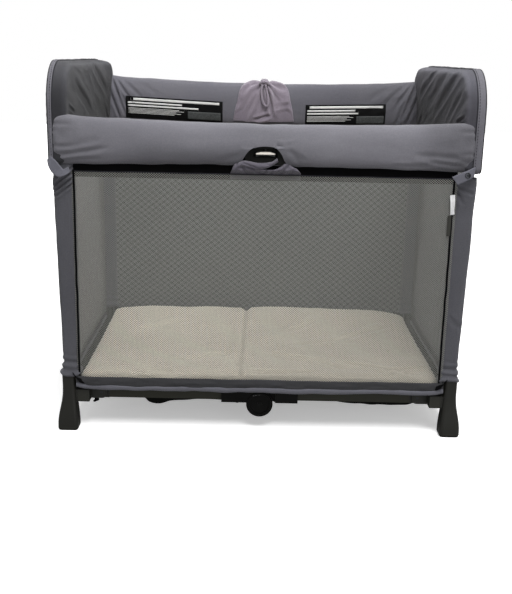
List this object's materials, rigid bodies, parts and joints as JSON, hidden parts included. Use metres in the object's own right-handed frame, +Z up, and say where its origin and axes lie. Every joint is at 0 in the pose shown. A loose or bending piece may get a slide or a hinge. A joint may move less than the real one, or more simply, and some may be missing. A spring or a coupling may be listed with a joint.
{
  "type": "travel play yard",
  "caption": "Folding travel play yard: bent-tube end hoops with padded wings, hinged rails with a release lever, mesh walls, flared feet and a flat mattress.",
  "frame": {"origin": "on the floor under the middle of the yard", "axes": "+X along the length, +Y to the back (the side with the higher rail), +Z up"},
  "size_m": [0.9601, 0.6595, 0.855],
  "materials": {
    "band_black": "woven tape",
    "black_plastic": "fine moulded texture",
    "board_brown": "hardboard",
    "cover_grey": "woven polyester, mid grey",
    "floor_dark": "dark woven sheet",
    "leg_black": "satin black",
    "lever_silver": "bright satin",
    "mattress_beige": "speckled beige knit",
    "mesh_light": "open knitted mesh, grey",
    "rail_grey": "satin dark grey",
    "rubber_sole": "matte",
    "sleeve_grey": "woven polyester, dark grey",
    "steel_pin": "brushed",
    "tube_aluminium": "satin anodised",
    "wing_grey": "woven polyester, darker grey"
  },
  "bodies": {
    "left_end": {"end_hoop_left": "tube_aluminium", "feet_left": "black_plastic", "foot_soles_left": "rubber_sole", "bottom_crossbar_left": "leg_black", "base_brackets_left": "black_plastic", "top_brackets_left": "black_plastic", "pivot_pins_left": "steel_pin", "wing_pad_left": "wing_grey", "end_mesh_left": "mesh_light", "leg_sleeves_left": "sleeve_grey", "corner_tab_left": "cover_grey", "mesh_wall_front": "mesh_light", "mesh_wall_back": "mesh_light"},
    "right_end": {"end_hoop_right": "tube_aluminium", "feet_right": "black_plastic", "foot_soles_right": "rubber_sole", "bottom_crossbar_right": "leg_black", "base_brackets_right": "black_plastic", "top_brackets_right": "black_plastic", "pivot_pins_right": "steel_pin", "wing_pad_right": "wing_grey", "end_mesh_right": "mesh_light", "leg_sleeves_right": "sleeve_grey", "corner_tab_right": "cover_grey", "zip_pull": "band_black"},
    "base_left": {"base_rails_left": "rail_grey", "base_knuckles_left": "black_plastic", "base_hubs_left": "black_plastic", "base_hub_axle": "steel_pin", "floor_sling_left": "floor_dark", "mattress_board_left": "board_brown", "mattress_left": "mattress_beige"},
    "base_right": {"base_rails_right": "rail_grey", "base_knuckles_right": "black_plastic", "base_hubs_right": "black_plastic", "floor_sling_right": "floor_dark", "mattress_board_right": "board_brown", "mattress_right": "mattress_beige"},
    "top_front_left": {"top_rail_front_left": "tube_aluminium", "top_knuckle_front_left": "black_plastic", "top_hub_front_left": "black_plastic", "top_hub_pin_front": "steel_pin", "rail_cover_front_left": "cover_grey"},
    "top_front_right": {"top_rail_front_right": "tube_aluminium", "top_knuckle_front_right": "black_plastic", "top_hub_front_right": "black_plastic", "rail_cover_front_right": "cover_grey"},
    "top_back_left": {"top_rail_back_left": "tube_aluminium", "top_knuckle_back_left": "black_plastic", "top_hub_back_left": "black_plastic", "top_hub_pin_back": "steel_pin", "rail_cover_back_left": "cover_grey"},
    "top_back_right": {"top_rail_back_right": "tube_aluminium", "top_knuckle_back_right": "black_plastic", "top_hub_back_right": "black_plastic", "rail_cover_back_right": "cover_grey"},
    "lever_front": {"release_lever_front": "lever_silver", "release_spring_front": "steel_pin"},
    "lever_back": {"release_lever_back": "lever_silver", "release_spring_back": "steel_pin"}
  },
  "joints": [
    {"name": "fold", "type": "hinge", "parent": "left_end", "child": "base_left", "pos_m": [-0.38, 0, 0.085], "axis": [0, -1, 0], "range_deg": [0, 89], "deforming": ["rail_cover_front_left", "rail_cover_front_right", "rail_cover_back_left", "rail_cover_back_right", "mesh_wall_front", "mesh_wall_back"]},
    {"name": "base_hub_pivot", "type": "hinge", "parent": "base_left", "child": "base_right", "pos_m": [0, 0, 0.0625], "axis": [0, -1, 0], "range_deg": [-178, 0]},
    {"name": "top_front_pivot", "type": "hinge", "parent": "left_end", "child": "top_front_left", "pos_m": [-0.38, 0, 0.6855], "axis": [0, 1, 0], "range_deg": [0, 89]},
    {"name": "top_front_hub_pivot", "type": "hinge", "parent": "top_front_left", "child": "top_front_right", "pos_m": [0, 0, 0.708], "axis": [0, 1, 0], "range_deg": [-178, 0]},
    {"name": "right_end_pivot", "type": "hinge", "parent": "top_front_right", "child": "right_end", "pos_m": [0.38, 0, 0.6855], "axis": [0, 1, 0], "range_deg": [0, 89]},
    {"name": "top_back_pivot", "type": "hinge", "parent": "left_end", "child": "top_back_left", "pos_m": [-0.38, 0, 0.7495], "axis": [0, 1, 0], "range_deg": [0, 89]},
    {"name": "top_back_hub_pivot", "type": "hinge", "parent": "top_back_left", "child": "top_back_right", "pos_m": [0, 0, 0.772], "axis": [0, 1, 0], "range_deg": [-178, 0]},
    {"name": "front_release", "type": "slide", "parent": "top_front_left", "child": "lever_front", "axis": [0, 0, 1], "range_m": [0, 0.005], "stiffness_N_per_m": 400, "springref_m": -0.001, "deforming": ["release_spring_front"]},
    {"name": "back_release", "type": "slide", "parent": "top_back_left", "child": "lever_back", "axis": [0, 0, 1], "range_m": [0, 0.005], "stiffness_N_per_m": 400, "springref_m": -0.001, "deforming": ["release_spring_back"]}
  ],
  "couplings": [
    {"joint": "base_hub_pivot", "follows": "fold", "ratio": -2},
    {"joint": "right_end_pivot", "follows": "fold", "ratio": 1},
    {"joint": "top_front_pivot", "follows": "fold", "ratio": 1},
    {"joint": "top_front_hub_pivot", "follows": "fold", "ratio": -2},
    {"joint": "top_back_pivot", "follows": "fold", "ratio": 1},
    {"joint": "top_back_hub_pivot", "follows": "fold", "ratio": -2}
  ]
}
